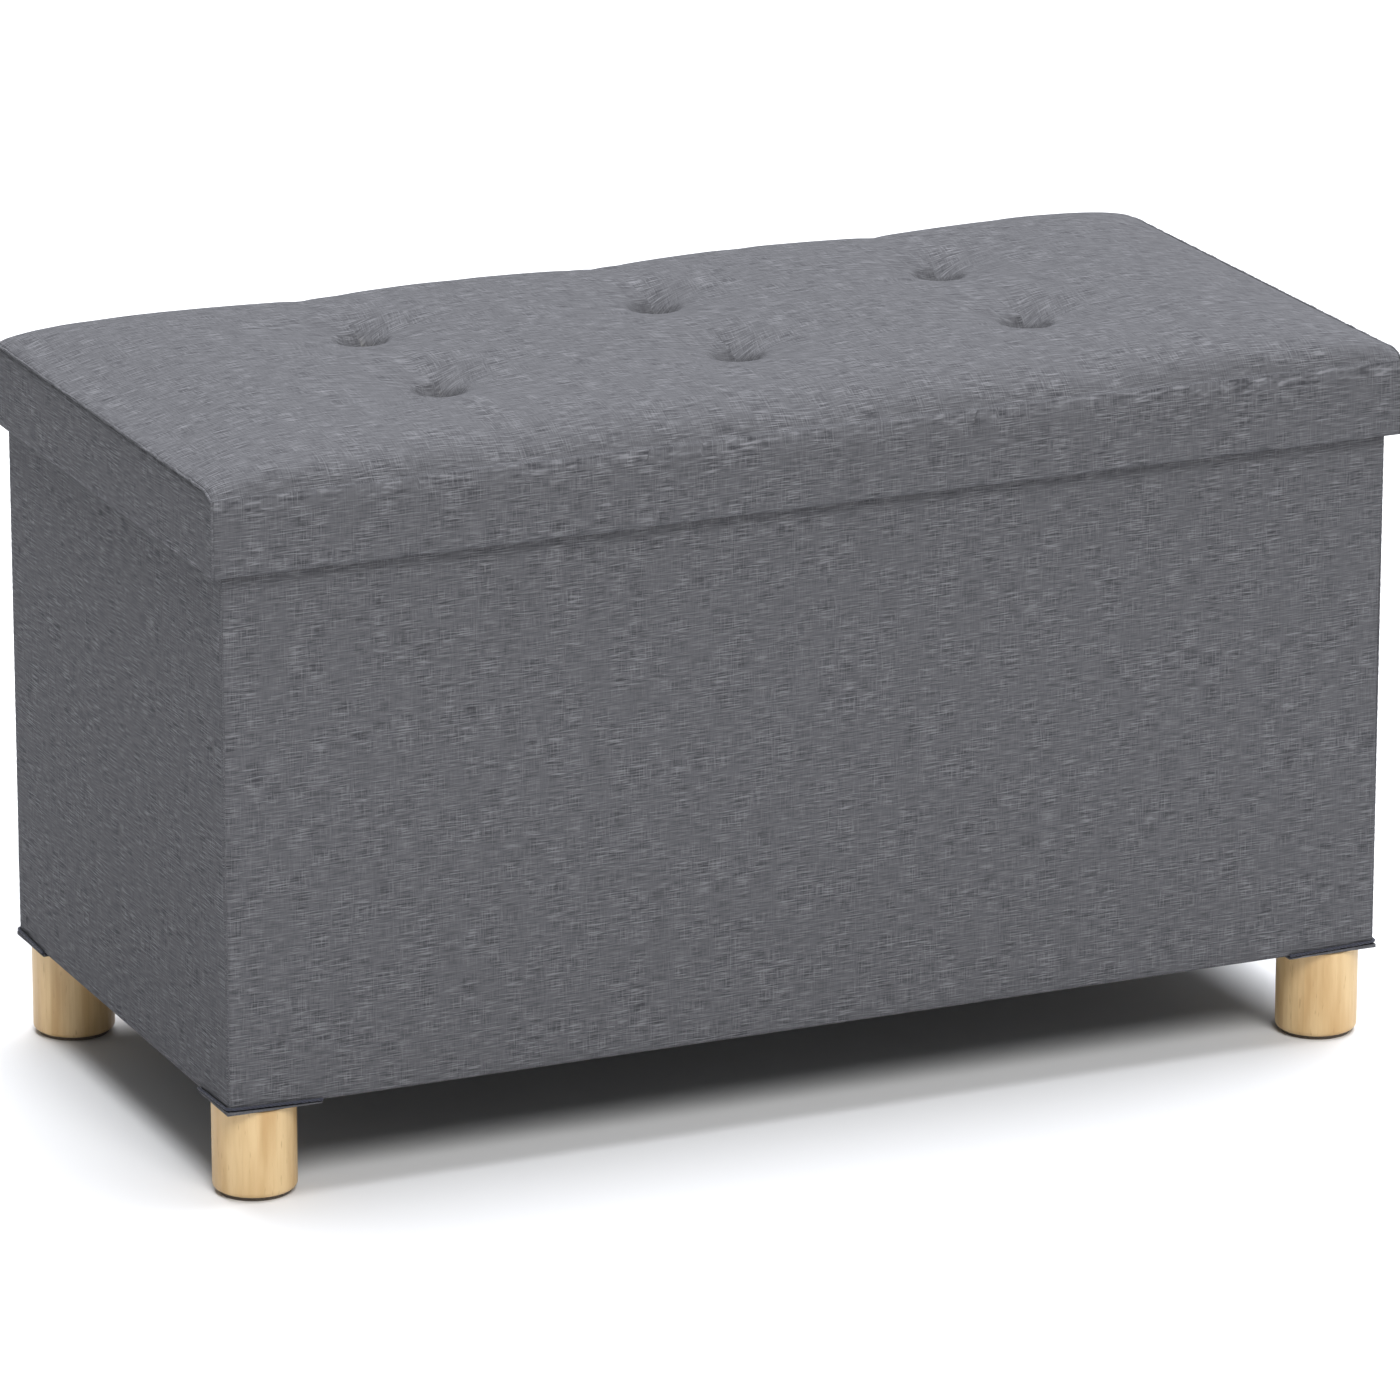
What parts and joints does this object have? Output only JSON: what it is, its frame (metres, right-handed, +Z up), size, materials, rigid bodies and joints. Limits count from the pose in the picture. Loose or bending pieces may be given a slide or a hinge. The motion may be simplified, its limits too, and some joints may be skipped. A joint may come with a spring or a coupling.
{
  "type": "storage bench",
  "caption": "Upholstered storage bench: a fabric-covered box on short round wood legs under a padded, tufted cap lid that lifts off.",
  "frame": {"origin": "on the floor, under the middle of the bench", "axes": "+X along the bench's length to the right, +Y from its front to its back, +Z up"},
  "size_m": [0.76, 0.37, 0.448],
  "materials": {
    "linen_fabric": "matt linen-look weave, mid grey with paler slubs",
    "non_woven_lining": "matt black non-woven with a fine embossed grid",
    "binding_tape": "dark navy bias tape, slight sheen",
    "foam": "open-cell polyurethane foam",
    "fibreboard": "raw medium-density fibreboard",
    "pale_wood": "natural pale wood, satin lacquer, vertical grain",
    "felt": "grey-brown pressed felt",
    "twine": "grey waxed twine",
    "zinc_steel": "bright zinc plate"
  },
  "bodies": {
    "box": {"back_panel": "fibreboard", "base_board": "fibreboard", "base_board_cover": "non_woven_lining", "body_cover": "linen_fabric", "corner_binding_back_left": "binding_tape", "corner_binding_back_right": "binding_tape", "corner_binding_front_left": "binding_tape", "corner_binding_front_right": "binding_tape", "corner_patch_back_left": "linen_fabric", "corner_patch_back_right": "linen_fabric", "corner_patch_front_left": "linen_fabric", "corner_patch_front_right": "linen_fabric", "front_panel": "fibreboard", "inner_lining": "non_woven_lining", "left_panel_back_half": "fibreboard", "left_panel_front_half": "fibreboard", "leg_back_left": "pale_wood", "leg_back_right": "pale_wood", "leg_bolt_back_left": "zinc_steel", "leg_bolt_back_right": "zinc_steel", "leg_bolt_front_left": "zinc_steel", "leg_bolt_front_right": "zinc_steel", "leg_front_left": "pale_wood", "leg_front_right": "pale_wood", "leg_glide_back_left": "felt", "leg_glide_back_right": "felt", "leg_glide_front_left": "felt", "leg_glide_front_right": "felt", "leg_insert_back_left": "zinc_steel", "leg_insert_back_right": "zinc_steel", "leg_insert_front_left": "zinc_steel", "leg_insert_front_right": "zinc_steel", "right_panel_back_half": "fibreboard", "right_panel_front_half": "fibreboard"},
    "lid": {"lid_board": "fibreboard", "lid_foam": "foam", "lid_lining": "non_woven_lining", "lid_main_fabric": "linen_fabric", "lid_side_fabric_left": "linen_fabric", "lid_side_fabric_right": "linen_fabric", "lid_skirt_back": "fibreboard", "lid_skirt_front": "fibreboard", "lid_skirt_left": "fibreboard", "lid_skirt_right": "fibreboard", "tuft_tie_back_left": "twine", "tuft_tie_back_middle": "twine", "tuft_tie_back_right": "twine", "tuft_tie_front_left": "twine", "tuft_tie_front_middle": "twine", "tuft_tie_front_right": "twine"}
  },
  "joints": [
    {"name": "lid_lift", "type": "slide", "parent": "box", "child": "lid", "axis": [0, 0, 1], "range_m": [0, 0.3]}
  ]
}
